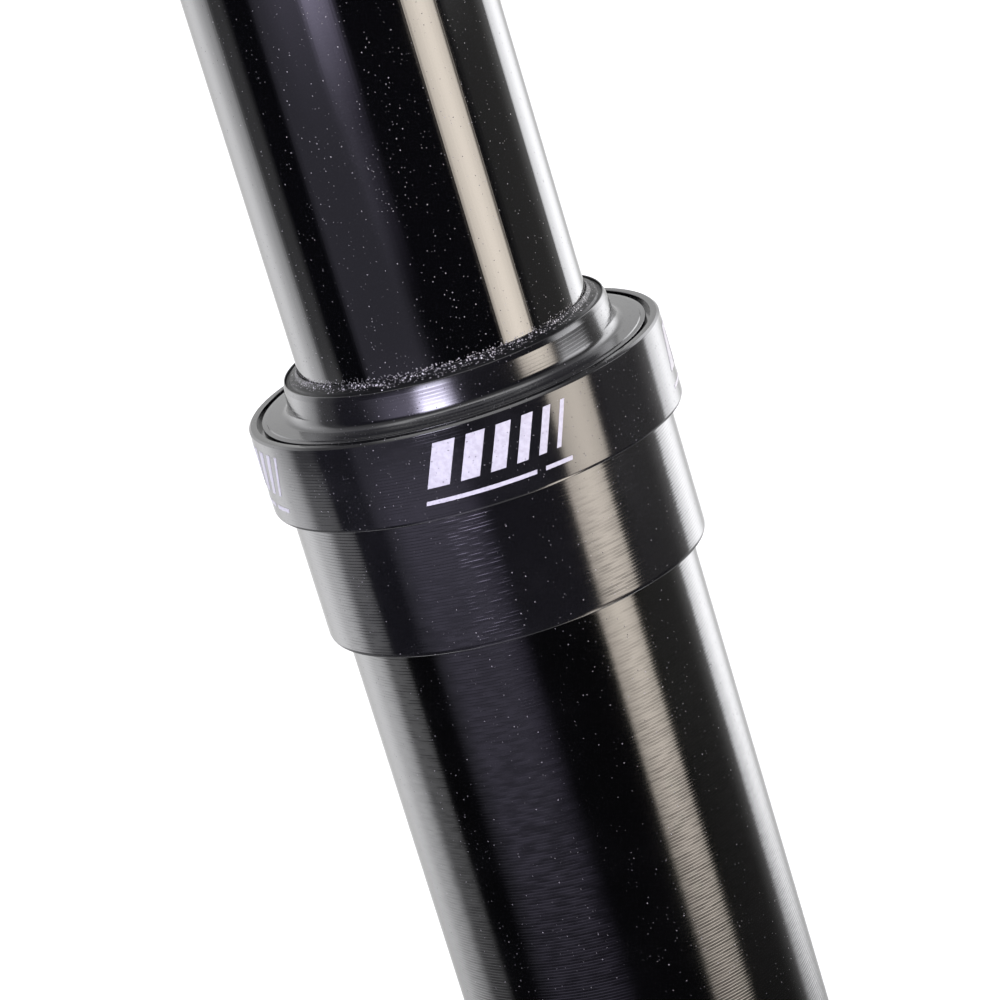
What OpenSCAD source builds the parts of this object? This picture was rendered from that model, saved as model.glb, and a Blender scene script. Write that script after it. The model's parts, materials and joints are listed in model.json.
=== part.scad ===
// Telescopic coil-spring suspension seatpost with a two-bolt saddle clamp.
// Millimetres. The origin is on the post's axis at the outer tube's lower end.
// +Z runs up the post and +X points to the front of the saddle.

/* [Post] */
// Outside diameter of the outer tube, which is the seat-tube size it fits
tube_d = 30.9; // [30.8:0.1:31.0]
// Wall of the outer tube
tube_wall = 1.75; // [1.7:0.05:1.8]
// Outside diameter of the sliding shaft
shaft_d = 25.4; // [25.3:0.1:25.5]
// Wall of the sliding shaft
shaft_wall = 2.4; // [2.2:0.1:2.6]
// Height of the wiper's lip, where the shaft leaves the outer assembly
lip_z = 227.9; // [226.9:1:231.9]
// Suspension travel
travel = 40; // [30:1:40]

/* [Collar] */
// Outside diameter of the lock ring
ring_d = 36.3; // [36.1:0.1:36.6]
// Height of the lock ring
ring_h = 7.6; // [7.4:0.1:7.8]
// Outside diameter of the lower collar
collar_d = 33.7; // [33.4:0.1:34.0]
// Height of the lower collar that shows under the lock ring
collar_h = 12; // [11:0.1:13]
// Outside diameter of the wiper cap's boss
boss_d = 28.9; // [28.7:0.1:29.1]

/* [Saddle clamp] */
// Height of the saddle rails' centres above the tube's lower end
rail_z = 350; // [349:1:352]
// Diameter of a saddle rail
rail_d = 7; // [6.9:0.1:7.1]
// Distance between the two rails' centres
rail_gap = 44; // [43:1:46]
// Length of the rail grooves
clamp_l = 34; // [30:1:34]
// Distance of each clamp bolt from the post's axis
bolt_x = 25; // [24.5:0.5:25.5]

/* [Spring] */
// Wire diameter of the main spring
wire_d = 4; // [3.4:0.1:4.2]
// Number of turns of the main spring
turns = 9.5; // [8:0.5:9.5]

/* [Hidden] */
$fn = 96;
eps = 0.02;
fit_gap = 0.05;            // radial clearance of a running fit

// Radii shared by the outer tube and what runs in it
tube_r = tube_d / 2;
bore_r = tube_r - tube_wall;
shaft_r = shaft_d / 2;
shaft_bore_r = shaft_r - shaft_wall;
ring_r = ring_d / 2;
collar_r = collar_d / 2;
boss_r = boss_d / 2;
collar_seat_r = tube_r - 0.3;  // the tube is turned down where the collar sits on it

// Heights of the collar stack, from the wiper's lip down
boss_top = lip_z - 0.6;
flange_top = lip_z - 3.45;
ring_top = lip_z - 3.5;
cap_seat = lip_z - 5.7;
ring_bottom = ring_top - ring_h;
collar_bottom = ring_bottom - collar_h;
tube_top = lip_z - 6.9;

// Radii of the collar stack
thread_r = 16;             // thread between the collar and the lock ring
flange_r = ring_r - 0.75;  // wiper cap's flange, pressed into the ring
flange_top_r = flange_r - 0.45;
seal_r = 13.6;             // wiper seal's body
seal_rim_r = 14.1;         // wiper seal's upper rim, set into the cap's end
seal_rim_z = boss_top - 0.5;
felt_r = 14.1;             // felt ring's outside
edge = 0.2;                // small chamfer on turned edges

// Shaft, guides and spring stack, from the shaft's lower end
shaft_bottom = lip_z - 107.9;
shaft_top = rail_z - 36;
guide_h = 21;
bumper_h = 8;
upper_bush_h = 24;
cup_flange_h = 3;
cup_spigot_h = 5;
spring_top = shaft_bottom - cup_flange_h;
spigot_r = 8.3;
spring_r = 10.6;           // mean radius of the coil
elastomer_r = 7.4;
elastomer_gap = 16;        // travel before the elastomer is met
elastomer_beads = 4;

// Guide keys and their grooves
key_w = 3;
key_h = 12;
key_z = shaft_bottom + 4.5;
key_in_r = shaft_r - 0.8;
key_out_r = bore_r + 0.55;
groove_r = bore_r + 0.65;
groove_w = key_w + 0.2;
groove_bottom = shaft_bottom - travel - 4;

// Preload adjuster in the tube's lower end
adjuster_r = 14.15;
thread_bore_r = adjuster_r + 0.1;
thread_bore_h = 24;
thread_pitch = 1.5;
thread_depth = 0.7;
adjuster_z = 6;             // its lower face at rest; it backs out 5 mm from here
adjuster_h = 12;
adjuster_neck_h = 3;
hex_af = 10;
hex_h = 8;
washer_z = adjuster_z + adjuster_h + adjuster_neck_h;
washer_h = 1;
seat_z = washer_z + washer_h;
seat_h = 3;
seat_spigot_h = 5.5;
spring_bottom = seat_z + seat_h;

// Coil of the main spring
closed_pitch = wire_d * 1.03;
coil_low = spring_bottom + wire_d / 2 + eps;
coil_high = spring_top - wire_d / 2 - eps;
open_pitch = (coil_high - coil_low - 2 * closed_pitch) / (turns - 2);

// Head and saddle clamp
tilt_z = rail_z + 6;       // axis that the clamp tilts about
cradle_r = 26;             // radius of the head's trough
neck_r = 14.7;
neck_bottom = rail_z - 64;
block_x = 22;              // half length of the trough block
block_y = 15;              // half width of the trough block
block_corner = 4;          // radius of its upright corners
horn_top = rail_z - 11;
ear_r = 9;                 // plan radius of a bolt ear
ear_top = rail_z - 18;
ear_under = rail_z - 27;
scoop_r = 17;              // concave sweep from the neck to an ear
bolt_r = 3;
bolt_hole_r = 3.3;
nut_hole_r = 3.45;         // the bolt shifts 0.4 mm across the nut at full tilt
bolt_head_r = 5;
bolt_head_h = 6;
bolt_l = 44;
half_washer_r = 7;
half_washer_z = ear_under - 4;  // axis of the half-moon washer
washer_flat_z = half_washer_z + 1.5;
nut_r = 6;
nut_l = 16;
spine_r = 8;               // half width and end radius of the upper clamp's spine
spine_h = 10.5;            // how far the spine's ends reach under the tilt axis
rail_r = rail_d / 2;
web_x = 11;                // half length of the upper clamp's web beside the spine
web_h = 4.4;
part_gap = 0.8;            // each clamp half stops this far from the rails' centres
shell_r = 6.3;             // outside radius of the clamp around a rail

// Half section of a turned part, spun about the post's axis
module turned(points) {
    rotate_extrude() polygon(points);
}

// Plain ring from z0 to z1
module ring_between(r_in, r_out, z0, z1) {
    turned([[r_in, z0], [r_out, z0], [r_out, z1], [r_in, z1]]);
}

module rod_x(r, l) {
    rotate([0, 90, 0]) cylinder(r = r, h = l, center = true);
}

module rod_y(r, l) {
    rotate([90, 0, 0]) cylinder(r = r, h = l, center = true);
}

// Side-view outline (x, z), extruded across the post
module across(width) {
    rotate([90, 0, 0]) linear_extrude(height = width, center = true) children();
}

module slot_z(r, half_l, h) {
    for (s = [-1, 1]) translate([s * half_l, 0, 0]) cylinder(r = r, h = h);
    translate([-half_l, -r, 0]) cube([2 * half_l, 2 * r, h]);
}

module o_ring(r, section_r, z) {
    translate([0, 0, z]) rotate_extrude() translate([r, 0]) circle(r = section_r);
}

// Points of a quarter round, from angle a0 to a1 about (r, z)
function round_points(r, z, radius, a0, a1, steps = 5) =
    [for (i = [0 : steps]) let (a = a0 + (a1 - a0) * i / steps)
        [r + radius * cos(a), z + radius * sin(a)]];

module outer_tube() {
    color("#141416") difference() {
        turned([[thread_bore_r, 0], [tube_r - 0.5, 0], [tube_r, 0.5], [tube_r, collar_bottom],
            [collar_seat_r, collar_bottom], [collar_seat_r, tube_top], [bore_r, tube_top],
            [bore_r, thread_bore_h], [thread_bore_r, thread_bore_h]]);
        for (k = [0 : 2]) rotate([0, 0, 120 * k + 60])
            translate([0, -groove_w / 2, groove_bottom])
                intersection() {
                    cube([groove_r, groove_w, tube_top - groove_bottom + 1]);
                    translate([0, groove_w / 2, -1]) cylinder(r = groove_r, h = tube_top);
                }
    }
}

module tube_collar() {
    top = cap_seat - 0.1;
    color("#17171a") turned([[collar_seat_r, collar_bottom], [collar_r - edge, collar_bottom],
        [collar_r, collar_bottom + edge], [collar_r, ring_bottom], [thread_r, ring_bottom],
        [thread_r, top - edge], [thread_r - edge, top], [collar_seat_r, top]]);
}

module lock_ring() {
    inner = thread_r + fit_gap;
    color("#1a1a1d") turned([[inner, ring_bottom], [ring_r - edge, ring_bottom],
        [ring_r, ring_bottom + edge], [ring_r, ring_top - edge], [ring_r - edge, ring_top],
        [flange_r, ring_top], [flange_r, cap_seat], [inner, cap_seat]]);
}

module wiper_cap() {
    cap_bore = shaft_r + 0.25;
    blend = 0.8;
    shoulder = 0.32;
    seal_z = cap_seat + 3;
    color("#1b1b1f") difference() {
        turned(concat([[cap_bore, cap_seat], [flange_r, cap_seat], [flange_r, ring_top - 0.7],
            [flange_top_r, ring_top - 0.7]],
            [[flange_top_r, flange_top - edge], [flange_top_r - 2 * edge, flange_top]],
            round_points(boss_r + blend, flange_top + blend, blend, 270, 180),
            round_points(boss_r - shoulder, boss_top - shoulder, shoulder, 0, 90),
            [[seal_rim_r, boss_top], [seal_rim_r, seal_rim_z], [seal_r, seal_rim_z],
            [seal_r, seal_z], [cap_bore, seal_z]]));
        ring_between(cap_bore - 1, felt_r, cap_seat + 0.5, cap_seat + 1.9);
        ring_between(15.25, 16.05, cap_seat - 1, cap_seat + 0.65);
    }
}

module wiper_seal() {
    lip_r = shaft_r + fit_gap;
    color("#0b0b0c") turned([[lip_r, cap_seat + 3], [seal_r, cap_seat + 3], [seal_r, seal_rim_z],
        [seal_rim_r, seal_rim_z], [seal_rim_r, boss_top - 0.1], [lip_r + 0.35, boss_top + 0.15],
        [lip_r + 0.1, lip_z], [lip_r, lip_z]]);
}

module felt_ring() {
    color("#6d6a60") ring_between(shaft_r + fit_gap, felt_r, cap_seat + 0.5, cap_seat + 1.9);
}

module cap_o_ring() {
    color("#0d0d0d") o_ring(15.65, 0.35, cap_seat + 0.25);
}

module upper_bushing() {
    inner = shaft_r + fit_gap;
    bottom = tube_top - upper_bush_h;
    rim_r = collar_seat_r - 0.1;
    color("#d8d2c0") turned([[inner + 0.3, bottom], [bore_r - 0.3, bottom], [bore_r, bottom + 0.3],
        [bore_r, tube_top], [rim_r, tube_top], [rim_r, cap_seat], [inner + 0.2, cap_seat],
        [inner, cap_seat - 0.2], [inner, bottom + 0.3]]);
}

module spacer_sleeve() {
    color("#2b2b2e") ring_between(shaft_r + 0.25, bore_r - 0.1,
        shaft_bottom + guide_h + bumper_h, tube_top - upper_bush_h);
}

module top_out_bumper() {
    z0 = shaft_bottom + guide_h;
    color("#3c3f45") turned([[shaft_r + 0.3, z0], [bore_r - 0.35, z0], [bore_r - 0.15, z0 + 1],
        [bore_r - 0.45, z0 + bumper_h / 2], [bore_r - 0.15, z0 + bumper_h - 1],
        [bore_r - 0.35, z0 + bumper_h], [shaft_r + 0.3, z0 + bumper_h]]);
}

module shaft() {
    color("#0f0f11") difference() {
        turned([[shaft_bore_r, shaft_bottom], [shaft_r - 0.4, shaft_bottom],
            [shaft_r, shaft_bottom + 0.4], [shaft_r, shaft_top], [shaft_bore_r, shaft_top]]);
        for (k = [0 : 2]) rotate([0, 0, 120 * k + 60])
            translate([key_in_r, -key_w / 2, key_z]) cube([2, key_w, key_h]);
    }
}

module lower_bushing() {
    top = shaft_bottom + guide_h;
    outer = bore_r - fit_gap;
    color("#d8d2c0") difference() {
        turned([[shaft_r, shaft_bottom + 0.4], [outer - 0.4, shaft_bottom + 0.4],
            [outer, shaft_bottom + 0.8], [outer, top - 0.4], [outer - 0.4, top], [shaft_r, top]]);
        for (k = [0 : 2]) rotate([0, 0, 120 * k + 60])
            translate([key_in_r, -key_w / 2, key_z]) cube([4, key_w, key_h]);
    }
}

// One of the three keys that stop the shaft turning in the tube
module guide_key(k) {
    color("#c9a24a") rotate([0, 0, 120 * k + 60]) intersection() {
        translate([key_in_r, -key_w / 2, key_z]) cube([4, key_w, key_h]);
        translate([0, 0, key_z - 1]) cylinder(r = key_out_r, h = key_h + 2);
    }
}

module spring_cup() {
    spigot_top = shaft_bottom + 14;
    color("#8d8f93") turned([[3, spring_top - cup_spigot_h], [spigot_r - 0.6, spring_top - cup_spigot_h],
        [spigot_r, spring_top - cup_spigot_h + 0.6], [spigot_r, spring_top],
        [bore_r - 0.3, spring_top], [bore_r - 0.3, shaft_bottom], [shaft_bore_r, shaft_bottom],
        [shaft_bore_r, spigot_top - 0.6], [shaft_bore_r - 0.6, spigot_top], [3, spigot_top]]);
}

// Height of the coil's centre after t turns: one closed turn at each end, an even pitch between
function coil_z(t) = t < 1 ? coil_low + closed_pitch * t
    : t > turns - 1 ? coil_high - closed_pitch * (turns - t)
    : coil_low + closed_pitch + open_pitch * (t - 1);

module main_spring() {
    per_turn = 18;
    sides = 8;
    rings = round(turns * per_turn);
    points = [for (i = [0 : rings], j = [0 : sides - 1])
        let (a = 360 * i / per_turn, b = 360 * j / sides,
            r = spring_r + wire_d / 2 * cos(b),
            z = coil_z(i / per_turn) + wire_d / 2 * sin(b))
        [r * cos(a), r * sin(a), z]];
    walls = [for (i = [0 : rings - 1], j = [0 : sides - 1])
        let (k = (j + 1) % sides)
        [i * sides + j, (i + 1) * sides + j, (i + 1) * sides + k, i * sides + k]];
    first = [for (j = [0 : sides - 1]) j];
    last = [for (j = [0 : sides - 1]) rings * sides + sides - 1 - j];
    color("#5d6066") polyhedron(points = points, faces = concat([first], walls, [last]), convexity = 10);
}

module elastomer_rod() {
    z0 = spring_bottom + seat_spigot_h;
    z1 = spring_top - cup_spigot_h - elastomer_gap;
    bead = (z1 - z0) / elastomer_beads;
    waist = 1.6;
    outline = [for (i = [0 : elastomer_beads - 1], p = [[elastomer_r - waist, 0],
            [elastomer_r, waist], [elastomer_r, bead - waist]])
        [p[0], z0 + i * bead + p[1]]];
    color("#b9a13c") turned(concat([[2, z0]], outline, [[elastomer_r - waist, z1], [2, z1]]));
}

module lower_spring_seat() {
    color("#2f3033") turned([[2, seat_z], [bore_r - 0.3, seat_z], [bore_r - 0.3, spring_bottom],
        [spigot_r, spring_bottom], [spigot_r, spring_bottom + seat_spigot_h - 0.8],
        [spigot_r - 0.8, spring_bottom + seat_spigot_h], [2, spring_bottom + seat_spigot_h]]);
}

module thrust_washer() {
    color("#b5b7ba") ring_between(5, 13, washer_z, seat_z);
}

module preload_adjuster() {
    ridges = floor((adjuster_h - 4) / thread_pitch);
    low = adjuster_z + 1;
    o_ring_z = adjuster_z + adjuster_h - 1.4;
    thread = [for (i = [0 : ridges - 1], p = [[adjuster_r, 0], [adjuster_r, 0.3],
            [adjuster_r - thread_depth, 0.75], [adjuster_r, 1.2]])
        [p[0], low + i * thread_pitch + p[1]]];
    color("#3a3b3f") difference() {
        turned(concat([[0, adjuster_z], [adjuster_r - 1, adjuster_z]], thread,
            [[adjuster_r, adjuster_z + adjuster_h - 0.3], [adjuster_r - 0.3, adjuster_z + adjuster_h],
            [12.4, adjuster_z + adjuster_h], [12.4, washer_z], [0, washer_z]]));
        translate([0, 0, adjuster_z - 1]) cylinder(d = hex_af / cos(30), h = hex_h + 1, $fn = 6);
        o_ring(adjuster_r, 0.62, o_ring_z);
    }
}

module adjuster_o_ring() {
    color("#0d0d0d") intersection() {
        o_ring(adjuster_r, 0.6, adjuster_z + adjuster_h - 1.4);
        cylinder(r = adjuster_r + 0.08, h = washer_z);
    }
}

// Side view of the head above the neck: trough on top, a scoop under each ear
module head_side() {
    difference() {
        translate([-40, neck_bottom + 16]) square([80, horn_top - neck_bottom - 16]);
        translate([0, tilt_z]) circle(r = cradle_r);
        for (s = [-1, 1]) {
            translate([s * (neck_r + scoop_r), ear_under - scoop_r]) circle(r = scoop_r);
            translate([s * (neck_r + scoop_r + 10) - 10, ear_under - 30]) square([20, 30]);
            translate([s * (block_x + 10) - 10, ear_top]) square([20, 20]);
        }
    }
}

module head_plan() {
    square([2 * (block_x - block_corner), 2 * block_y], center = true);
    square([2 * block_x, 2 * (block_y - block_corner)], center = true);
    for (s = [-1, 1], t = [-1, 1])
        translate([s * (block_x - block_corner), t * (block_y - block_corner)]) circle(r = block_corner);
    square([2 * bolt_x, 2 * ear_r], center = true);
    for (s = [-1, 1]) translate([s * bolt_x, 0]) circle(r = ear_r);
}

module head() {
    flare_z = neck_bottom + 17;
    color("#161618") difference() {
        union() {
            turned([[0, neck_bottom], [neck_r - 0.8, neck_bottom], [neck_r, neck_bottom + 0.8],
                [neck_r, flare_z + 13], [0, flare_z + 13]]);
            intersection() {
                across(2 * block_y) head_side();
                translate([0, 0, flare_z]) linear_extrude(height = 50) head_plan();
                turned([[0, flare_z], [neck_r, flare_z], [neck_r + 40, flare_z + 40], [0, flare_z + 40]]);
            }
        }
        translate([0, 0, neck_bottom - 1]) cylinder(r = shaft_r, h = shaft_top - neck_bottom + 1);
        for (s = [-1, 1]) {
            translate([s * bolt_x, 0, ear_under - 10]) slot_z(bolt_hole_r, 1.2, 30);
            translate([s * bolt_x, 0, half_washer_z]) rod_y(half_washer_r + fit_gap, 2 * ear_r + 2);
        }
    }
}

// Socket cap bolt at side s: its head is under the ear and its end stands out of the barrel nut
module clamp_bolt(s) {
    color("#c3c5c8") translate([s * bolt_x, 0, washer_flat_z]) difference() {
        turned([[0, -bolt_head_h], [bolt_head_r - 0.4, -bolt_head_h],
            [bolt_head_r, 0.4 - bolt_head_h], [bolt_head_r, 0], [bolt_r, 0],
            [bolt_r, bolt_l - 0.7], [bolt_r - 0.7, bolt_l], [0, bolt_l]]);
        translate([0, 0, -bolt_head_h - 1]) cylinder(d = 5 / cos(30), h = 4.2, $fn = 6);
    }
}

module half_washer(s) {
    color("#c3c5c8") translate([s * bolt_x, 0, 0]) difference() {
        intersection() {
            translate([0, 0, half_washer_z]) rod_y(half_washer_r, 13);
            translate([-10, -10, washer_flat_z]) cube([20, 20, 10]);
        }
        translate([0, 0, washer_flat_z - 1]) cylinder(r = bolt_hole_r, h = 10);
    }
}

module rail_grooves() {
    for (s = [-1, 1]) translate([0, s * rail_gap / 2, rail_z]) rod_x(rail_r, clamp_l + 4);
}

module lower_clamp() {
    top = rail_z - part_gap;
    color("#1d1d20") difference() {
        union() {
            intersection() {
                translate([0, 0, tilt_z]) rod_y(cradle_r - fit_gap, 2 * block_y - 1);
                translate([-clamp_l / 2, -block_y, top - 30]) cube([clamp_l, 2 * block_y, 30]);
            }
            translate([-clamp_l / 2, -rail_gap / 2, top - 6.2]) cube([clamp_l, rail_gap, 6.2]);
            intersection() {
                for (s = [-1, 1]) translate([0, s * rail_gap / 2, rail_z]) rod_x(shell_r, clamp_l);
                translate([-clamp_l, -rail_gap, top - 10]) cube([2 * clamp_l, 2 * rail_gap, 10]);
            }
        }
        rail_grooves();
        translate([-11, -9.5, top - 11]) cube([22, 19, 12]);
    }
}

// Side view of the upper clamp's spine, with a hooked end at each bolt
module spine_side() {
    difference() {
        translate([-bolt_x - spine_r, tilt_z - spine_h]) square([2 * (bolt_x + spine_r), spine_h + 1]);
        translate([-clamp_l / 2 - 1.2, rail_z - 20]) square([clamp_l + 2.4, 20 + part_gap]);
        for (s = [-1, 1]) translate([s * (bolt_x + 10) - 10, tilt_z]) square([20, 10]);
    }
}

module spine_plan() {
    square([2 * bolt_x, 2 * spine_r], center = true);
    for (s = [-1, 1]) translate([s * bolt_x, 0]) circle(r = spine_r);
}

// Plan of the web that joins the spine to both rail shells
module web_plan() {
    for (m = [0, 1]) mirror([0, m, 0])
        polygon([[-web_x, 0], [web_x, 0], [web_x, spine_r], [clamp_l / 2, rail_gap / 2 - 5],
            [clamp_l / 2, rail_gap / 2], [-clamp_l / 2, rail_gap / 2],
            [-clamp_l / 2, rail_gap / 2 - 5], [-web_x, spine_r]]);
}

module upper_clamp() {
    bottom = rail_z + part_gap;
    color("#1d1d20") difference() {
        union() {
            intersection() {
                across(2 * spine_r) spine_side();
                translate([0, 0, rail_z - 20]) linear_extrude(height = 40) spine_plan();
            }
            translate([0, 0, bottom]) linear_extrude(height = web_h) web_plan();
            intersection() {
                for (s = [-1, 1]) translate([0, s * rail_gap / 2, rail_z]) rod_x(shell_r, clamp_l);
                translate([-clamp_l, -rail_gap, bottom]) cube([2 * clamp_l, 2 * rail_gap, 10]);
            }
        }
        rail_grooves();
        for (s = [-1, 1]) {
            translate([s * bolt_x, 0, tilt_z]) rod_y(nut_r + fit_gap, 2 * spine_r + 2);
            translate([s * bolt_x, 0, tilt_z - 20]) slot_z(bolt_hole_r, 2.6, 20);
        }
    }
}

module barrel_nut(s) {
    color("#c3c5c8") translate([s * bolt_x, 0, tilt_z]) difference() {
        rod_y(nut_r, nut_l);
        translate([0, 0, -10]) cylinder(r = nut_hole_r, h = 20);
    }
}

outer_tube();
tube_collar();
lock_ring();
wiper_cap();
wiper_seal();
felt_ring();
cap_o_ring();
upper_bushing();
spacer_sleeve();
top_out_bumper();
shaft();
lower_bushing();
guide_key(0);  // guide_key_1
guide_key(1);  // guide_key_2
guide_key(2);  // guide_key_3
spring_cup();
main_spring();
elastomer_rod();
lower_spring_seat();
thrust_washer();
preload_adjuster();
adjuster_o_ring();
head();
clamp_bolt(1);  // front_clamp_bolt
clamp_bolt(-1);  // rear_clamp_bolt
half_washer(1);  // front_half_washer
half_washer(-1);  // rear_half_washer
lower_clamp();
upper_clamp();
barrel_nut(1);  // front_barrel_nut
barrel_nut(-1);  // rear_barrel_nut
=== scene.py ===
import json
import math

import bmesh
import bpy
from mathutils import Matrix, Vector


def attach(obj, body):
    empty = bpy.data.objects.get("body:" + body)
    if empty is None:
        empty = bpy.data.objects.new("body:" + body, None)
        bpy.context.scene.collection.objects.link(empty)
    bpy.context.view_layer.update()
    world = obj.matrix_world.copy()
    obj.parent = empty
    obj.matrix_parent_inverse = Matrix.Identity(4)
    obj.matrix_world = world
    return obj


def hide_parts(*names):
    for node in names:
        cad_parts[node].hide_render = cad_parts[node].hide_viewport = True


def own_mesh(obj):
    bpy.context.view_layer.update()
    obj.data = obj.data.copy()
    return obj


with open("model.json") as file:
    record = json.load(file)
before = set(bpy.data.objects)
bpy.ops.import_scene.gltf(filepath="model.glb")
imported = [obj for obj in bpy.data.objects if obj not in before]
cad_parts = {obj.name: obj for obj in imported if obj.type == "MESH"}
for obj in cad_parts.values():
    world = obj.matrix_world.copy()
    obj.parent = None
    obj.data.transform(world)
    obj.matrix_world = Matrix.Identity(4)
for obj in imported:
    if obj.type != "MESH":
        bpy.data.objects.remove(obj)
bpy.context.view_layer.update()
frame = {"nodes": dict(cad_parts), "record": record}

MM = 0.001

# Radii and heights of the sliding parts and the collar stack, as in the CAD model
tube_r, bore_r, seat_r, thread_bore_r = 15.45, 13.70, 15.15, 14.25
shaft_r, shaft_bore_r = 12.70, 10.30
ring_r, collar_r, boss_r, flange_r, seal_r = 18.15, 16.85, 14.45, 17.40, 13.60
lip, boss_top, flange_top, ring_top = 227.9, 227.3, 224.45, 224.4
cap_seat, tube_top, ring_bottom, collar_bottom = 222.2, 221.0, 216.8, 204.8
shaft_top, shaft_foot, thread_top = 314, 120, 24
spring_seat_top, spring_length, travel = 25, 92, 40


# ---------------------------------------------------------------- nodes

class Graph:
    """Short forms for filling one node tree."""

    def __init__(self, tree):
        self.tree = tree
        tree.nodes.clear()

    def put(self, socket, value):
        if isinstance(value, bpy.types.NodeSocket):
            self.tree.links.new(value, socket)
        else:
            socket.default_value = value

    def add(self, kind, settings=None, **inputs):
        made = self.tree.nodes.new("ShaderNode" + kind)
        for key, value in (settings or {}).items():
            setattr(made, key, value)
        for key, value in inputs.items():
            self.put(made.inputs[key.replace("_", " ")], value)
        return made

    def math(self, operation, *values):
        made = self.add("Math", {"operation": operation})
        for socket, value in zip(made.inputs, values):
            self.put(socket, value)
        return made.outputs[0]

    def step(self, value, low, high, out_low=0.0, out_high=1.0):
        """Smooth step from out_low at value low to out_high at value high."""
        made = self.add("MapRange", {"interpolation_type": "SMOOTHSTEP"})
        for key, v in zip(("Value", "From Min", "From Max", "To Min", "To Max"),
                          (value, low, high, out_low, out_high)):
            self.put(made.inputs[key], v)
        return made.outputs[0]

    def mix(self, factor, a, b):
        made = self.add("Mix", {"data_type": "RGBA"})
        for index, value in ((0, factor), (6, a), (7, b)):
            self.put(made.inputs[index], value)
        return made.outputs[2]

    def noise(self, vector, scale, detail=2.0, roughness=0.5):
        return self.add("TexNoise", Vector=vector, Scale=scale, Detail=detail, Roughness=roughness).outputs[0]

    def combine(self, x, y, z):
        return self.add("CombineXYZ", X=x, Y=y, Z=z).outputs[0]

    def split(self, vector):
        return self.add("SeparateXYZ", Vector=vector).outputs

    def turn(self, xyz):
        """Angle about Z in radians: 0 towards -Y, growing towards +X."""
        return self.math("ARCTAN2", xyz[0], self.math("MULTIPLY", xyz[1], -1.0))

    def bump(self, distance, height, **inputs):
        """A bumped normal. distance is the relief in metres that a height of 1 stands for."""
        return self.add("Bump", Strength=1.0, Distance=distance, Height=height, **inputs).outputs[0]


def rgb(r, g=None, b=None):
    """A colour with its alpha, or a grey if only one number is given."""
    return (r, r if g is None else g, r if b is None else b, 1.0)


# ---------------------------------------------------------------- camera, light and floor

scene = bpy.context.scene
scene.view_settings.view_transform = "Standard"

camera = bpy.data.objects.new("camera", bpy.data.cameras.new("camera"))
camera.data.sensor_width = 36.0
camera.data.lens = 164.1
camera.data.clip_start, camera.data.clip_end = 0.01, 100.0
eye = Vector((0.0005, -0.3747, 0.3218))
right = Vector((0.95620, -0.08245, -0.28085))
up = Vector((0.29271, 0.26934, 0.91749))
camera.matrix_world = Matrix.Translation(eye) @ Matrix((right, up, right.cross(up))).transposed().to_4x4()
scene.collection.objects.link(camera)
scene.camera = camera


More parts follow.
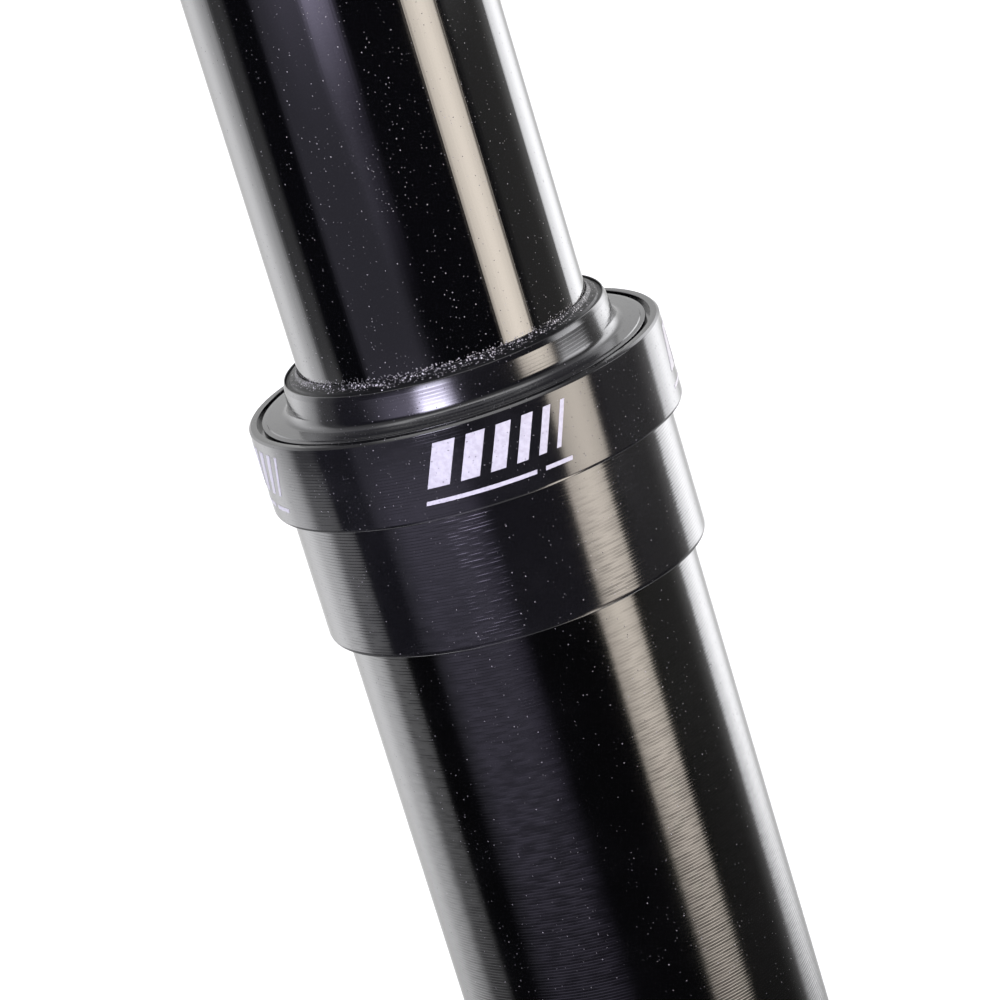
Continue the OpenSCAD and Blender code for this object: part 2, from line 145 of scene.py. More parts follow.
def studio_light():
    """A white tent: overhead dome, white behind, dark in front below the horizon with tall softboxes."""
    world = bpy.data.worlds.new("studio")
    scene.world = world
    world.use_nodes = True
    g = Graph(world.node_tree)
    xyz = g.split(g.add("TexCoord").outputs["Generated"])
    around = g.math("MULTIPLY", g.turn(xyz), 180 / math.pi)
    rise = g.math("MULTIPLY", g.math("ARCSINE", xyz[2]), 180 / math.pi)
    cool, violet, warm, white = (0.78, 0.71, 1.0), (0.76, 0.68, 1.0), (1.0, 0.90, 0.79), (0.97, 0.97, 1.0)
    # name: (azimuth it starts at and softness, azimuth it ends at and softness,
    #        lowest elevation and softness, highest elevation and softness, colour, strength)
    # in degrees: azimuth 0 is towards the front (-Y) and 90 towards +X
    boxes = {
        "key": (43.5, 2.0, 69.5, 1.8, -75, 10, 3, 5, warm, 7.4),
        "key_core": (50, 7, 64, 6, -75, 10, 3, 5, warm, 2.8),
        "cool": (-29, 4, -8, 6, -3.5, 6, 24, 12, cool, 14.5),
        "cool_top": (-28, 4, -9, 5, 0, 4, 24, 12, (0.86, 0.88, 1.0), 15.0),
        "cool_foot": (-24, 5, -7, 4, -11.6, 1.0, 0, 4, cool, 0.2),
        "cool_tail": (-54, 12, -22, 6, -5, 5, 20, 12, cool, 1.4),
        "side": (76, 3, 103, 4, -3, 6, 20, 12, white, 6.5),
        "fill": (-68, 4, -17, 8, -75, 10, 12, 10, (0.82, 0.79, 1.0), 0.36),
        "fill_low": (-60, 8, -8, 6, -75, 10, -15, 2, violet, 0.62),
        "left_edge": (-110, 6, -94, 4, -75, 10, 35, 12, white, 0.32),
        "left_low": (-126, 6, -92, 1, -75, 10, -14.5, 1.5, white, 0.80),
        "left": (-148, 16, -112, 5, -75, 10, 35, 12, white, 1.75),
        "right": (123, 1.5, 149, 13, -75, 10, 35, 12, white, 3.9),
        "right_dim": (76, 5, 122, 1.5, -75, 10, 35, 12, (1.0, 0.98, 0.93), 0.19),
    }

    def scaled(amount, colour, strength):
        made = g.add("VectorMath", {"operation": "SCALE"})
        made.inputs[0].default_value = [c * strength for c in colour]
        g.put(made.inputs["Scale"], amount)
        return made.outputs[0]

    def summed(parts):
        total = parts[0]
        for part in parts[1:]:
            made = g.add("VectorMath", {"operation": "ADD"})
            g.put(made.inputs[0], total)
            g.put(made.inputs[1], part)
            total = made.outputs[0]
        return total

    lit = []
    for first, soft_a, last, soft_b, low, soft_c, high, soft_d, colour, strength in boxes.values():
        inside = g.math("MULTIPLY", g.step(around, first - soft_a, first + soft_a),
                        g.step(around, last + soft_b, last - soft_b))
        inside = g.math("MULTIPLY", inside, g.step(rise, low - soft_c, low + soft_c))
        inside = g.math("MULTIPLY", inside, g.step(rise, high + soft_d, high - soft_d))
        lit.append(scaled(inside, colour, strength))
    # the boxes stand on a darker table: they fade just under the part and come back lower down
    fade = g.math("ADD", g.step(rise, -26.5, -18.5, 0.12, 1.0), g.step(rise, -48.0, -56.0, 0.0, 0.9))
    faded = g.add("VectorMath", {"operation": "SCALE"})
    g.put(faded.inputs[0], summed(lit))
    g.put(faded.inputs["Scale"], fade)
    # white behind the part, dimmer low down
    behind = g.math("MULTIPLY", g.step(g.math("ABSOLUTE", around), 105.0, 138.0), g.step(rise, 50.0, 28.0))
    behind = g.math("MULTIPLY", behind, g.step(rise, -30.0, -18.0, 0.3, 1.0))
    # the tent's own white: (elevation where it begins, elevation where it is full, strength)
    tent = {"table": (-56, -66, 0.8), "upper_wall": (28, 46, 0.5), "ceiling": (56, 70, 2.7)}
    plain = (1.0, 1.0, 1.0)
    everywhere = scaled(1.0, (1.0, 1.0, 1.05), 0.014)
    total = summed([faded.outputs[0], scaled(behind, plain, 1.0)]
                   + [scaled(g.step(rise, begins, full), plain, strength)
                      for begins, full, strength in tent.values()] + [everywhere])
    light = g.add("Background", Color=total, Strength=1.0)
    # the camera sees the tent's plain white wall
    seen = g.add("Background", Color=rgb(1.0), Strength=1.0)
    path = g.add("LightPath")
    shown = g.add("MixShader")
    g.put(shown.inputs[0], path.outputs["Is Camera Ray"])
    g.put(shown.inputs[1], light.outputs[0])
    g.put(shown.inputs[2], seen.outputs[0])
    g.add("OutputWorld", Surface=shown.outputs[0])


def pale_floor():
    """A round floor, a hair under the part. It neither shows in the reflections nor takes light away."""
    floor_r, floor_gap = 7.0, 0.4 * MM
    mesh = bpy.data.meshes.new("floor")
    made = bmesh.new()
    bmesh.ops.create_circle(made, cap_ends=True, segments=96, radius=floor_r)
    made.to_mesh(mesh)
    floor = bpy.data.objects.new("floor", mesh)
    floor.location.z = -floor_gap
    floor.visible_glossy = False
    floor.visible_shadow = False
    material = bpy.data.materials.new("floor")
    material.use_nodes = True
    g = Graph(material.node_tree)
    shader = g.add("BsdfPrincipled", Base_Color=rgb(0.93), Roughness=0.9, IOR=1.3)
    g.add("OutputMaterial", Surface=shader.outputs[0])
    mesh.materials.append(material)
    scene.collection.objects.link(floor)


studio_light()
pale_floor()


# ---------------------------------------------------------------- materials

def start(name):
    """A new material, its empty graph, and the place in the CAD frame as a socket."""
    material = bpy.data.materials.new(name)
    material.use_nodes = True
    g = Graph(material.node_tree)
    return material, g, g.add("TexCoord").outputs["Object"]


def end(g, **inputs):
    """Closes a material's graph with one principled shader."""
    shader = g.add("BsdfPrincipled", **inputs)
    g.add("OutputMaterial", Surface=shader.outputs[0])


def specks(g, place, cell, share, size, dim=0.12):
    """Round specks, most of them dim: one per cell of that size in metres, in a share of the cells."""
    found = g.add("TexVoronoi", Vector=place, Scale=1 / cell)
    dice = g.add("SeparateColor", Color=found.outputs["Color"]).outputs
    radius = g.step(dice[1], 0.0, 1.0, 0.35 * size / cell, size / cell)
    near = g.math("LESS_THAN", found.outputs["Distance"], radius)
    chosen = g.math("MULTIPLY", near, g.math("LESS_THAN", dice[0], share))
    bright = g.math("ADD", g.math("MULTIPLY", g.math("POWER", dice[2], 3.0), 1.0 - dim), dim)
    return g.math("MULTIPLY", chosen, bright)


def dust(g, place, amount):
    """Fine dust in two sizes. amount is a number or a socket."""
    small = specks(g, place, 0.33 * MM, amount, 0.052 * MM)
    large = specks(g, place, 1.7 * MM, g.math("MULTIPLY", amount, 0.35), 0.062 * MM, dim=0.3)
    return g.math("MAXIMUM", small, large)


def near_height(g, place, height, reach):
    """1 at that height in metres, falling to 0 within reach above and below it."""
    z = g.split(place)[2]
    return g.step(g.math("ABSOLUTE", g.math("SUBTRACT", z, height)), reach, reach * 0.15)


def upward_dust_and_light(g, amount):
    """Greys the faces turned upward: partly dust lying on them, partly painted light from above."""
    face = g.split(g.add("NewGeometry").outputs["Normal"])[2]
    return g.step(face, 0.55, 0.95, 0.0, amount)


def dull_dust(g, rough, dirt):
    """The roughness, raised to that of dust where a speck lies."""
    return g.math("MAXIMUM", rough, g.math("MULTIPLY", g.math("GREATER_THAN", dirt, 0.01), 0.8))


def along_profile(g, place):
    """Height plus radius: it changes evenly over a turned part's walls and flat faces alike."""
    xyz = g.split(place)
    squares = [g.math("MULTIPLY", side, side) for side in (xyz[0], xyz[1])]
    return g.math("ADD", xyz[2], g.math("SQRT", g.math("ADD", *squares)))


def turned_lines(g, place, pitch):
    """Lathe marks: an even feed whose depth wanders, as a height of about one unit."""
    along = along_profile(g, place)
    feed = g.math("SINE", g.math("MULTIPLY", along, 2 * math.pi / pitch))
    noise = g.add("TexNoise", {"noise_dimensions": "1D"}, Scale=1.0, Detail=3.0, Roughness=0.7)
    g.put(noise.inputs["W"], g.math("DIVIDE", along, pitch * 1.7))
    deep = g.step(noise.outputs[0], 0.35, 0.65, 0.25, 1.0)
    return g.math("ADD", g.math("MULTIPLY", feed, deep), g.math("MULTIPLY", noise.outputs[0], 4.0))


def feed_lines(g, place, pitch, least):
    """Lathe feed as an uneven saw: the short flank of each line faces up and catches the light, and
    the lines run deep in stretches of about a millimetre. least is how deep they are elsewhere."""
    # crest is where in its pitch a line is highest. Each line has its own stretches, by its number.
    crest = 0.75
    feeds = g.math("DIVIDE", along_profile(g, place), pitch)
    part = g.math("FRACT", feeds)
    long_flank = g.math("DIVIDE", part, crest)
    short_flank = g.math("DIVIDE", g.math("SUBTRACT", 1.0, part), 1.0 - crest)
    line = g.math("MULTIPLY", g.math("FLOOR", feeds), 3.7)
    stretch = g.combine(g.math("MULTIPLY", g.turn(g.split(place)), 10.0), line, 0.0)
    deep = g.step(g.noise(stretch, 1.0, 0.0), 0.25, 0.72, least, 1.0)
    return g.math("MULTIPLY", deep, g.math("MINIMUM", long_flank, short_flank))


def anodised_turned(name, base, roughness, depth, least, dusty, ior=1.5, top_dust_and_light=0.0):
    """Black anodised aluminium off a lathe: fine turned lines, faint bloom and a little dust.

    base is its grey, depth and least the feed lines' depth in metres and least share of it, dusty the
    amount of dust, and haze how grey the faces turned upward become: partly dust lying on them, partly
    painted light from above.
    """
    material, g, place = start(name)
    lines = feed_lines(g, place, 0.27 * MM, least)
    grain = g.noise(place, 8000.0, 2.0)
    bloom = g.noise(place, 140.0, 4.0, 0.6)
    lip_dust = g.math("MULTIPLY", near_height(g, place, (lip - 0.3) * MM, 1.3 * MM), 1.2)
    dirt = dust(g, place, g.math("ADD", g.step(bloom, 0.3, 0.7, 0.5 * dusty, 1.3 * dusty), lip_dust))
    dark, light = rgb(base, base, base * 1.2), rgb(base * 1.7, base * 1.7, base * 2.0)
    colour = g.mix(g.step(bloom, 0.45, 0.75), dark, light)
    # faces turned upward are greyed: partly dust lying on them, partly painted light from above
    colour = g.mix(upward_dust_and_light(g, top_dust_and_light), colour, rgb(0.19, 0.19, 0.21))
    colour = g.mix(dirt, colour, rgb(0.20, 0.19, 0.20))
    cloudy = g.step(bloom, 0.35, 0.7, roughness, roughness * 1.2)
    rough = dull_dust(g, g.math("ADD", g.step(grain, 0.3, 0.7, -0.02, 0.02), cloudy), dirt)
    normal = g.bump(1.0e-6, grain, Normal=g.bump(depth, lines))
    end(g, Base_Color=colour, Roughness=rough, IOR=ior, Normal=normal)
    return material


def gloss_shaft(name):
    """Polished, hard anodised shaft: draw marks along it, fine pores and dust, thickest at the lip."""
    material, g, place = start(name)
    xyz = g.split(place)
    lengthwise = g.combine(g.math("MULTIPLY", g.turn(xyz), 60.0), g.math("MULTIPLY", xyz[2], 5.0), 0.0)
    draw = g.noise(lengthwise, 1.0, 3.0, 0.6)
    pores = g.noise(place, 6000.0, 1.0)
    smear = g.noise(place, 90.0, 3.0, 0.55)
    at_lip = near_height(g, place, (lip + 0.1) * MM, 1.6 * MM)
    dirt = dust(g, place, g.math("ADD", g.step(smear, 0.3, 0.7, 0.45, 0.95), g.math("MULTIPLY", at_lip, 1.4)))
    caught = specks(g, place, 0.16 * MM, near_height(g, place, lip * MM, 0.50 * MM), 0.08 * MM, dim=0.35)
    dirt = g.math("MAXIMUM", dirt, g.math("MULTIPLY", caught, 1.35))
    colour = g.mix(dirt, rgb(0.0008, 0.0008, 0.0011), rgb(0.27, 0.26, 0.26))
    rough = g.math("ADD", g.step(smear, 0.35, 0.75, 0.04, 0.08), g.step(pores, 0.55, 0.8, 0.0, 0.04))
    normal = g.bump(0.25e-6, pores, Normal=g.bump(3e-6, draw))
    end(g, Base_Color=colour, Roughness=dull_dust(g, rough, dirt), IOR=1.7, Normal=normal)
    return material


def blasted(name, base):
    """Forged, bead-blasted and anodised aluminium, rubbed a little brighter on its edges."""
    material, g, place = start(name)
    beads = g.noise(place, 5200.0, 2.0)
    bloom = g.noise(place, 60.0, 4.0, 0.6)
    edge = g.step(g.add("NewGeometry").outputs["Pointiness"], 0.53, 0.60)
    worn = g.math("MULTIPLY", edge, g.step(g.noise(place, 700.0, 3.0), 0.42, 0.62))
    dirt = dust(g, place, 0.5)
    colour = g.mix(g.step(bloom, 0.35, 0.75), rgb(base, base, base * 1.08), rgb(base * 1.7))
    colour = g.mix(g.math("MULTIPLY", worn, 0.5), colour, rgb(0.10, 0.10, 0.105))
    colour = g.mix(dirt, colour, rgb(0.26, 0.25, 0.24))
    rough = g.step(bloom, 0.3, 0.7, 0.36, 0.46)
    end(g, Base_Color=colour, Roughness=rough, IOR=1.6, Normal=g.bump(9e-6, beads))
    return material


def plated(name, colour, roughness, pitch=0.25 * MM, depth=0.8e-6):
    """Machined bright metal: tool lines, slightly uneven plating and stain."""
    material, g, place = start(name)
    lines = turned_lines(g, place, pitch)
    stain = g.noise(place, 300.0, 4.0, 0.65)
    tone = g.mix(g.step(stain, 0.35, 0.75), rgb(*colour), rgb(*(c * 0.78 for c in colour)))
    rough = g.step(stain, 0.3, 0.7, roughness, roughness + 0.12)
    end(g, Base_Color=tone, Metallic=1.0, Roughness=rough, Normal=g.bump(depth, lines))
    return material


def moulded(name, colour, roughness, grain=1800.0, depth=12e-6, dusty=0.3):
    """Moulded rubber or plastic: fine skin, cloudy tone, some dust."""
    material, g, place = start(name)
    skin = g.noise(place, grain, 3.0, 0.6)
    cloud = g.noise(place, 120.0, 3.0)
    dirt = dust(g, place, dusty)
    tone = g.mix(g.step(cloud, 0.3, 0.7), rgb(*colour), rgb(*(c * 1.35 for c in colour)))
    tone = g.mix(dirt, tone, rgb(0.30, 0.29, 0.27))
    rough = g.step(skin, 0.3, 0.7, roughness, min(1.0, roughness + 0.15))
    end(g, Base_Color=tone, Roughness=rough, Normal=g.bump(depth, skin))
    return material


def wiper_rubber(name):
    """Black wiper rubber, with dust caught along its lip."""
    material, g, place = start(name)
    skin = g.noise(place, 3000.0, 3.0, 0.6)
    lip_near = near_height(g, place, (lip - 0.1) * MM, 0.50 * MM)
    share = g.math("ADD", g.math("MULTIPLY", lip_near, 1.1), 0.06)
    grime = specks(g, place, 0.17 * MM, share, 0.085 * MM, dim=0.25)
    tone = g.mix(g.step(skin, 0.3, 0.7), rgb(0.0015, 0.0015, 0.002), rgb(0.003, 0.003, 0.004))
    tone = g.mix(grime, tone, rgb(0.62, 0.60, 0.62))
    rough = g.math("ADD", g.step(skin, 0.3, 0.7, 0.30, 0.42), g.math("MULTIPLY", grime, 0.4))
    end(g, Base_Color=tone, Roughness=rough, IOR=1.25, Normal=g.bump(9e-6, g.math("ADD", skin, grime)))
    return material


def printed(name, tone_scale):
    """White or grey ink: slightly mottled, with pinholes that show the metal."""
    material, g, place = start(name)
    mottle = g.noise(place, 2500.0, 3.0, 0.6)
    hole = g.step(g.noise(place, 5200.0, 1.0), 0.30, 0.24)
    thin, thick = (rgb(*(c * tone_scale for c in ink)) for ink in ((0.31, 0.30, 0.34), (0.38, 0.37, 0.415)))
    tone = g.mix(g.step(mottle, 0.3, 0.7), thin, thick)
    tone = g.mix(hole, tone, rgb(0.08, 0.08, 0.09))
    rough = g.step(mottle, 0.3, 0.7, 0.42, 0.60)
    end(g, Base_Color=tone, Roughness=rough, Normal=g.bump(4e-6, mottle))
    return material


MATERIALS = {
    "tube_black": anodised_turned("tube_black", 0.0005, 0.10, 5.6e-6, 0.35, 0.5, 1.58),
    "collar_black": anodised_turned("collar_black", 0.0031, 0.10, 7.4e-6, 0.35, 0.5, 1.58),
    "ring_black": anodised_turned("ring_black", 0.0040, 0.10, 2.8e-6, 0.3, 1.0, 1.53),
    "cap_black": anodised_turned("cap_black", 0.0036, 0.15, 2.4e-6, 0.4, 1.1, 1.64, top_dust_and_light=0.06),
    "shaft_black": gloss_shaft("shaft_black"),
    "head_black": blasted("head_black", 0.010),
    "adjuster_black": anodised_turned("adjuster_black", 0.012, 0.30, 5.0e-6, 0.4, 0.6),
    "bare_aluminium": plated("bare_aluminium", (0.62, 0.63, 0.65), 0.28, 0.35 * MM, 1.5e-6),
    "bolt_steel": plated("bolt_steel", (0.30, 0.30, 0.31), 0.32),
    "spring_steel": plated("spring_steel", (0.20, 0.21, 0.23), 0.34),
    "key_brass": plated("key_brass", (0.72, 0.55, 0.25), 0.30),
    "seal_rubber": moulded("seal_rubber", (0.008, 0.008, 0.008), 0.45, dusty=1.6),
    "elastomer_grey": moulded("elastomer_grey", (0.10, 0.10, 0.11), 0.45),
    "elastomer_amber": moulded("elastomer_amber", (0.55, 0.38, 0.12), 0.38, dusty=0.15),
    "felt": moulded("felt", (0.26, 0.25, 0.22), 0.95, grain=900.0, depth=120e-6),
    "bushing_plastic": moulded("bushing_plastic", (0.66, 0.63, 0.54), 0.38, depth=4e-6, dusty=0.1),
    "black_plastic": moulded("black_plastic", (0.030, 0.030, 0.032), 0.40, depth=6e-6),
    "wiper": wiper_rubber("wiper"),
    "white_ink": printed("white_ink", 1.0),
    "grey_ink": printed("grey_ink", 0.55),
}


def dress(obj, slot):
    """Gives an object one material."""
    obj.data.materials.clear()
    obj.data.materials.append(MATERIALS[slot])


# ---------------------------------------------------------------- meshes

def piece(name, verts, faces, body, slot, sharp=35.0, finish=None):
    """A new mesh piece in the CAD frame, from points in millimetres. Edges over sharp degrees stay crisp.

    It rides on body and wears the material named by slot, or the one named by finish where that is given.
    """
    mesh = bpy.data.meshes.new(name)
    mesh.from_pydata([[c * MM for c in v] for v in verts], [], faces)
    made = bmesh.new()
    made.from_mesh(mesh)
    bmesh.ops.recalc_face_normals(made, faces=made.faces)
    made.to_mesh(mesh)
    mesh.polygons.foreach_set("use_smooth", [True] * len(mesh.polygons))
    mesh.set_sharp_from_angle(angle=math.radians(sharp))
    obj = bpy.data.objects.new(name, mesh)
    scene.collection.objects.link(obj)
    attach(obj, body)
    dress(obj, finish or slot)
    return obj


def rounded(corners, steps=5):
    """Closed outline with an arc at each corner: corners are (r, z, radius)."""
    outline = []
    count = len(corners)
    for i, (r, z, radius) in enumerate(corners):
        here = Vector((r, z))
        before = Vector(corners[i - 1][:2]) - here
        after = Vector(corners[(i + 1) % count][:2]) - here
        if radius <= 0:
            outline.append(here)
            continue
        half = before.angle(after) / 2
        reach = radius / math.tan(half)
        first, last = here + before.normalized() * reach, here + after.normalized() * reach
        centre = here + (before.normalized() + after.normalized()).normalized() * (radius / math.sin(half))
        for k in range(steps + 1):
            mid = first.lerp(last, k / steps) - centre
            outline.append(centre + mid.normalized() * radius)
    return outline


def lathe(name, corners, body, slot, segments=256, sharp=35.0, finish=None):
    """A turned piece: a closed half section of (r, z, corner radius), spun about the post's axis."""
    outline = rounded(corners)
    rows = len(outline)
    verts = [(p[0] * math.cos(a), p[0] * math.sin(a), p[1])
             for a in (2 * math.pi * s / segments for s in range(segments)) for p in outline]
    faces = [(s * rows + i, s * rows + (i + 1) % rows,
              (s + 1) % segments * rows + (i + 1) % rows, (s + 1) % segments * rows + i)
             for s in range(segments) for i in range(rows)]
    return piece(name, verts, faces, body, slot, sharp, finish)


tube = lathe("tube_skin", [
    (thread_bore_r, 0, 0.2), (tube_r - 0.5, 0, 0.15), (tube_r, 0.5, 0.3), (tube_r, collar_bottom, 0),
    (seat_r, collar_bottom, 0), (seat_r, tube_top, 0), (bore_r, tube_top, 0.1), (bore_r, thread_top, 0),
    (thread_bore_r, thread_top, 0)], "outer", "tube_black")
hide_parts("outer_tube")

collar_neck_r = 16.0
collar = lathe("collar_skin", [
    (seat_r, collar_bottom, 0.03), (collar_r - 0.17, collar_bottom, 0.10),
    (collar_r - 0.07, collar_bottom + 0.10, 0.08), (collar_r, collar_bottom + 0.36, 0.12),
    (collar_r, ring_bottom, 0), (collar_neck_r, ring_bottom, 0), (collar_neck_r, cap_seat - 0.4, 0),
    (collar_neck_r - 0.3, cap_seat - 0.1, 0), (seat_r, cap_seat - 0.1, 0)], "outer", "collar_black")
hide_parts("tube_collar")

ring_bore_r = collar_neck_r + 0.05
ring = lathe("ring_skin", [
    (ring_bore_r, ring_bottom, 0), (ring_r - 0.09, ring_bottom, 0.08), (ring_r, ring_bottom + 0.24, 0.08),
    (ring_r, ring_top - 0.20, 0.07), (ring_r - 0.20, ring_top, 0.06), (flange_r, ring_top, 0.06),
    (flange_r, cap_seat, 0), (ring_bore_r, cap_seat, 0)], "outer", "ring_black")
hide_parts("lock_ring")

# a groove runs round the flange's edge, and a shoulder and a wall that leans in lead up to the mouth
groove_r, mouth_r, seal_foot, wiper_clear = flange_r - 0.45, 14.02, cap_seat + 3, 0.05
cap = lathe("cap_skin", [
    (shaft_r + 0.25, cap_seat, 0), (flange_r, cap_seat, 0), (flange_r, ring_top - 0.7, 0),
    (groove_r, ring_top - 0.7, 0), (groove_r, flange_top - 0.12, 0.06),
    (groove_r - 0.40, flange_top - 0.10, 0.02), (groove_r - 0.46, flange_top, 0.03),
    (boss_r + 0.03, flange_top, 0.8), (boss_r - 0.20, boss_top - 0.44, 0.15),
    (boss_r - 0.36, boss_top, 0.07), (mouth_r, boss_top, 0.02), (mouth_r, boss_top - 0.5, 0),
    (seal_r, boss_top - 0.5, 0), (seal_r, seal_foot, 0), (shaft_r + 0.25, seal_foot, 0)],
    "outer", "ring_black", finish="cap_black")
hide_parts("wiper_cap")

# from the mouth inward: a rim a little below it, a bead, and the lip that stands up round the shaft
seal = lathe("wiper_skin", [
    (shaft_r + wiper_clear, seal_foot, 0), (seal_r, seal_foot, 0), (seal_r, boss_top - 0.45, 0),
    (mouth_r - 0.02, boss_top - 0.45, 0), (mouth_r - 0.04, boss_top - 0.20, 0.04),
    (mouth_r - 0.34, boss_top - 0.10, 0.05), (seal_r - 0.04, boss_top + 0.08, 0.06),
    (seal_r - 0.55, boss_top + 0.24, 0.10), (shaft_r + 0.14, lip, 0.05), (shaft_r + wiper_clear, lip, 0.02)],
    "outer", "seal_rubber", finish="wiper")
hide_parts("wiper_seal")

shaft = lathe("shaft_skin", [
    (shaft_bore_r, shaft_foot, 0.2), (shaft_r, shaft_foot, 0.35), (shaft_r, shaft_top, 0.2),
    (shaft_bore_r, shaft_top, 0.2)], "sliding_shaft", "shaft_black", segments=320)
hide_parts("shaft")


def ink_patch(verts, faces, radius, corners, columns=6):
    """Adds a slab of ink round the post: corners (along the arc, height) in millimetres, anticlockwise."""
    sunk, proud = 0.01, 0.02
    inner, outer = radius - sunk, radius + proud
    base = len(verts)
    a, b, c, d = (Vector(corner) for corner in corners)
    rows = 4
    for level in (inner, outer):
        for i in range(columns + 1):
            for j in range(rows + 1):
                low, high = a.lerp(b, i / columns), d.lerp(c, i / columns)
                s, z = low.lerp(high, j / rows)
                turn = s / radius
                verts.append((level * math.sin(turn), -level * math.cos(turn), z))
    size = (columns + 1) * (rows + 1)

    def at(layer, i, j):
        return base + layer * size + i * (rows + 1) + j

    for i in range(columns):
        for j in range(rows):
            for layer in (0, 1):
                quad = [at(layer, i, j), at(layer, i + 1, j), at(layer, i + 1, j + 1), at(layer, i, j + 1)]
                faces.append(quad if layer else quad[::-1])
    edge = [(i, 0) for i in range(columns)] + [(columns, j) for j in range(rows)]
    edge += [(i, rows) for i in range(columns, 0, -1)] + [(0, j) for j in range(rows, 0, -1)]
    for here, there in zip(edge, edge[1:] + edge[:1]):
        faces.append([at(0, *here), at(0, *there), at(1, *there), at(1, *here)])


def ring_stripes():
    """In each quarter of the lock ring: slanted bars of falling width, over a line in two parts.

    middle is where the first mark is centred, in degrees from the front. The rest is in millimetres.
    """
    middle, half_width, gap, slant = 6.2, 6.9, 0.95, 1.5
    bars, bar_low, bar_high = (1.9, 1.6, 1.3, 1.0, 0.7, 0.4), 219.6, 223.3
    lines, line_low, line_high, line_slant = ((-0.5, 9.0), (9.8, 12.3)), 218.2, 218.55, 0.1
    verts, faces = [], []
    for quarter in range(4):
        s = math.radians(middle + 90 * quarter) * ring_r - half_width
        for first, last in lines:
            ink_patch(verts, faces, ring_r, [
                (s + first, line_low), (s + last, line_low),
                (s + last + line_slant, line_high), (s + first + line_slant, line_high)])
        for width in bars:
            ink_patch(verts, faces, ring_r, [
                (s, bar_low), (s + width, bar_low), (s + width + slant, bar_high), (s + slant, bar_high)])
            s += width + gap
    piece("ring_stripes", verts, faces, "outer", "ring_black", finish="white_ink")


def insert_ticks():
    """The least insertion: a ring of short upright ticks round the tube."""
    count, half_width, low, high = 40, 0.25, 100, 104
    verts, faces = [], []
    for k in range(count):
        s = k * 2 * math.pi * tube_r / count
        ink_patch(verts, faces, tube_r, [
            (s - half_width, low), (s + half_width, low), (s + half_width, high), (s - half_width, high)],
            columns=2)
    piece("insert_ticks", verts, faces, "outer", "tube_black", finish="grey_ink")


ring_stripes()
insert_ticks()


def coil(name, body, slot):
    """The main spring, with round wire and one closed turn at each end.

    The wire's middle runs from low to high, a hair inside the room it has, and a closed turn rises by
    closed. Its cut ends are a little thinner than the rest.
    """
    wire_r, mean_r, turns, per_turn, sides = 2.0, 10.6, 9.5, 48, 18
    clear, closed, end_size = 0.02, 4.12, 0.82
    low = spring_seat_top + wire_r + clear
    high = spring_seat_top + spring_length - wire_r - clear
    pitch = (high - low - 2 * closed) / (turns - 2)
    rings = int(turns * per_turn)
    verts, faces = [], []
    for i in range(rings + 1):
        t = i / per_turn
        if t < 1:
            z = low + closed * t
        elif t > turns - 1:
            z = high - closed * (turns - t)
        else:
            z = low + closed + pitch * (t - 1)
        wire = wire_r * (end_size if i in (0, rings) else 1.0)
        a = 2 * math.pi * t
        for j in range(sides):
            b = 2 * math.pi * j / sides
            r = mean_r + wire * math.cos(b)
            verts.append((r * math.cos(a), r * math.sin(a), z + wire * math.sin(b)))
    for i in range(rings):
        for j in range(sides):
            k = (j + 1) % sides
            faces.append((i * sides + j, (i + 1) * sides + j, (i + 1) * sides + k, i * sides + k))
    faces.append(list(range(sides)))
    faces.append([rings * sides + sides - 1 - j for j in range(sides)])
    return piece(name, verts, faces, body, slot)


# by full travel the spring has shortened by all of it, and the elastomer by rod_squash
spring = coil("spring_coil", "spring_seat", "spring_steel")
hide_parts("main_spring")
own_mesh(spring)

rod_low, rod_high, rod_squash, bead_count = 30.5, 96.0, 24.0, 4
rod_length = rod_high - rod_low
rod_bore_r, waist_r, bead_r, bead_slope = 2.0, 5.8, 7.4, 1.6
bead_pitch = rod_length / bead_count
beads = []
for i in range(bead_count):
    low, high = rod_low + i * bead_pitch, rod_low + (i + 1) * bead_pitch
    beads += [(waist_r, low, 0.5), (bead_r, low + bead_slope, 0.8), (bead_r, high - bead_slope, 0.8)]
elastomer = lathe("elastomer_skin", [(rod_bore_r, rod_low, 0)] + beads
                  + [(waist_r, rod_high, 0.5), (rod_bore_r, rod_high, 0)],
                  "spring_seat", "elastomer_amber", segments=96)
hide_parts("elastomer_rod")
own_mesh(elastomer)


def softened(name, node, body, slot, voxel, passes):
    """A forged or tumbled piece: its CAD solid with every edge rounded off.

    voxel is the remesh's cell in millimetres, and more passes round the edges more.
    """
    obj = bpy.data.objects.new(name, frame["nodes"][node].data.copy())
    scene.collection.objects.link(obj)
    remesh = obj.modifiers.new("remesh", "REMESH")
    remesh.mode = "VOXEL"
    remesh.voxel_size = voxel * MM
    remesh.use_smooth_shade = True
    smooth = obj.modifiers.new("smooth", "SMOOTH")
    smooth.factor = 0.5
    smooth.iterations = passes
    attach(obj, body)
    dress(obj, slot)
    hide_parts(node)


softened("head_forging", "head", "sliding_shaft", "head_black", 0.40, 10)
softened("lower_cradle", "lower_clamp", "saddle_clamp", "head_black", 0.36, 5)
softened("upper_yoke", "upper_clamp", "saddle_clamp", "head_black", 0.36, 5)
for end_name in ("front", "rear"):
    softened(end_name + "_trunnion", end_name + "_barrel_nut", end_name + "_nut", "bolt_steel", 0.25, 3)
    softened(end_name + "_moon_washer", end_name + "_half_washer", "sliding_shaft", "bolt_steel", 0.25, 3)


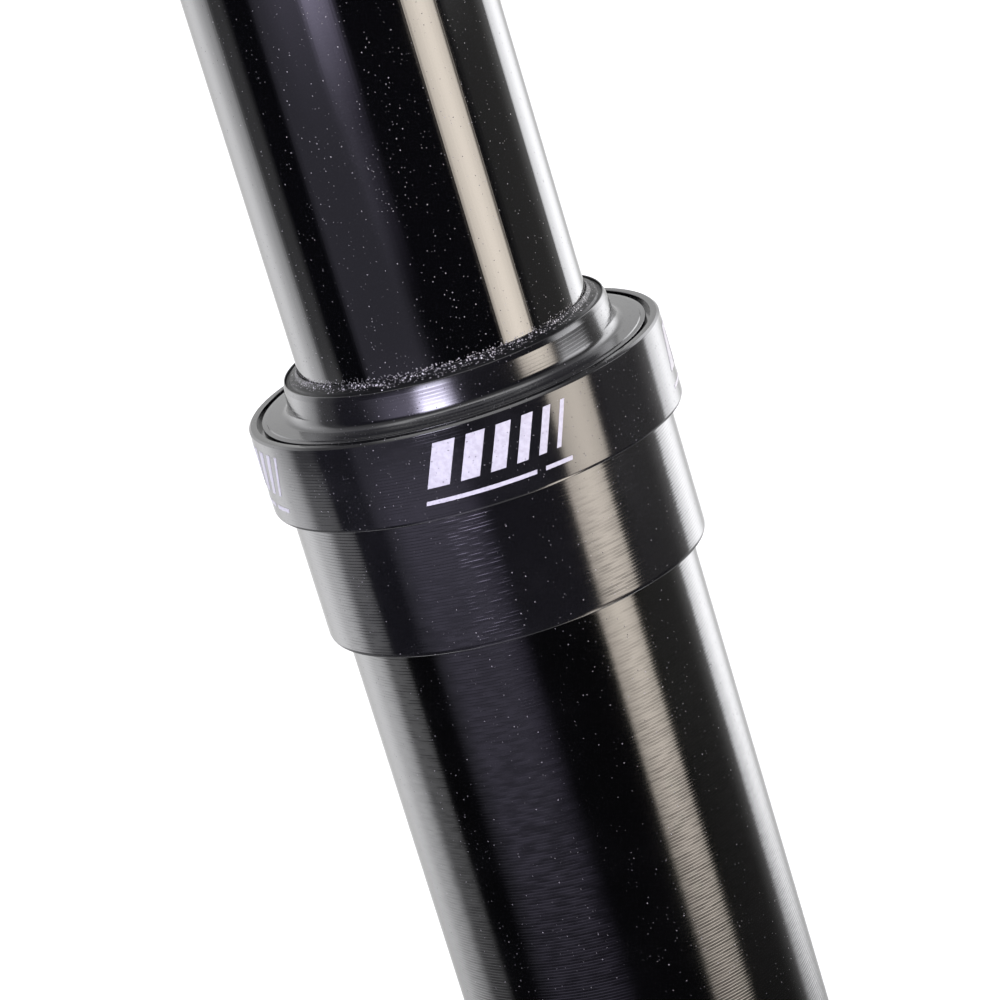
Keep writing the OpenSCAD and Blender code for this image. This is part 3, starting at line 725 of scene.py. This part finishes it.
def cap_screw(name, x, body):
    """Socket cap screw with a knurled head and a real helical thread, its head downwards.

    flat is the height of the head's flat under face, and the rows' heights count from there. They run
    from the socket's floor round the head and up the shank, as (kind, radius, height).
    """
    flat, length, pitch, thread_from, thread_end, segments = 320.5, 44.0, 1.0, 12.0, 43.3, 72
    head_r, head_h, socket_r, shank_r = 5.0, 6.0, 2.5, 3.0
    knurl_depth, thread_depth, rows_per_turn = 0.10, 0.58, 10
    rows = [("hex", socket_r, -2.9), ("hex", socket_r, 0.3 - head_h), ("hex", socket_r + 0.25, -head_h),
            ("plain", head_r - 0.7, -head_h), ("plain", head_r - 0.25, 0.15 - head_h),
            ("knurl", head_r - 0.05, 0.5 - head_h), ("knurl", head_r, 0.7 - head_h), ("knurl", head_r, -0.5),
            ("plain", head_r - 0.1, -0.25), ("plain", head_r - 0.25, 0.0), ("plain", shank_r + 0.5, 0.0),
            ("plain", shank_r, 0.4), ("plain", shank_r - 0.05, thread_from - 1.0)]
    steps = int((thread_end - thread_from) / pitch * rows_per_turn)
    rows += [("thread", shank_r, thread_from + i * pitch / rows_per_turn) for i in range(steps + 1)]
    rows += [("plain", shank_r - 0.55, length - 0.35), ("plain", shank_r - 0.75, length)]
    verts = []
    for kind, r, z in rows:
        for k in range(segments):
            a = 2 * math.pi * k / segments
            radius = r
            if kind == "hex":
                radius = r / math.cos((a + math.pi / 6) % (math.pi / 3) - math.pi / 6)
            elif kind == "knurl" and k % 2:
                radius = r - knurl_depth
            elif kind == "thread":
                wave = abs((z / pitch - k / segments) % 1.0 - 0.5) * 2
                run_in = min(1.0, (z - thread_from) / pitch)
                radius = r - thread_depth * min(1.0, max(0.0, wave * 1.25 - 0.12)) * run_in
            verts.append((x + radius * math.cos(a), radius * math.sin(a), flat + z))
    faces = [(i * segments + k, i * segments + (k + 1) % segments,
              (i + 1) * segments + (k + 1) % segments, (i + 1) * segments + k)
             for i in range(len(rows) - 1) for k in range(segments)]
    faces.append(list(range(segments)))
    faces.append([(len(rows) - 1) * segments + k for k in range(segments)])
    return piece(name, verts, faces, body, "bolt_steel", sharp=28.0)


bolt_x = 25.0
for end_name, x in (("front", bolt_x), ("rear", -bolt_x)):
    screw = cap_screw(end_name + "_cap_screw", x, end_name + "_bolt")
    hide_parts(end_name + "_clamp_bolt")


# ---------------------------------------------------------------- carried-over CAD parts

# welded and slightly bevelled, so that their edges catch the light
slots = {row["node"]: row["material_slot"] for row in frame["record"]["subparts"]}
for name, obj in frame["nodes"].items():
    dress(obj, slots[name])
    weld = obj.modifiers.new("weld", "WELD")
    weld.merge_threshold = 0.001 * MM
    bevel = obj.modifiers.new("bevel", "BEVEL")
    bevel.limit_method = "ANGLE"
    bevel.angle_limit = math.radians(40)
    bevel.width = 0.25 * MM
    bevel.segments = 2
    bevel.use_clamp_overlap = True
    obj.modifiers.new("normals", "WEIGHTED_NORMAL")
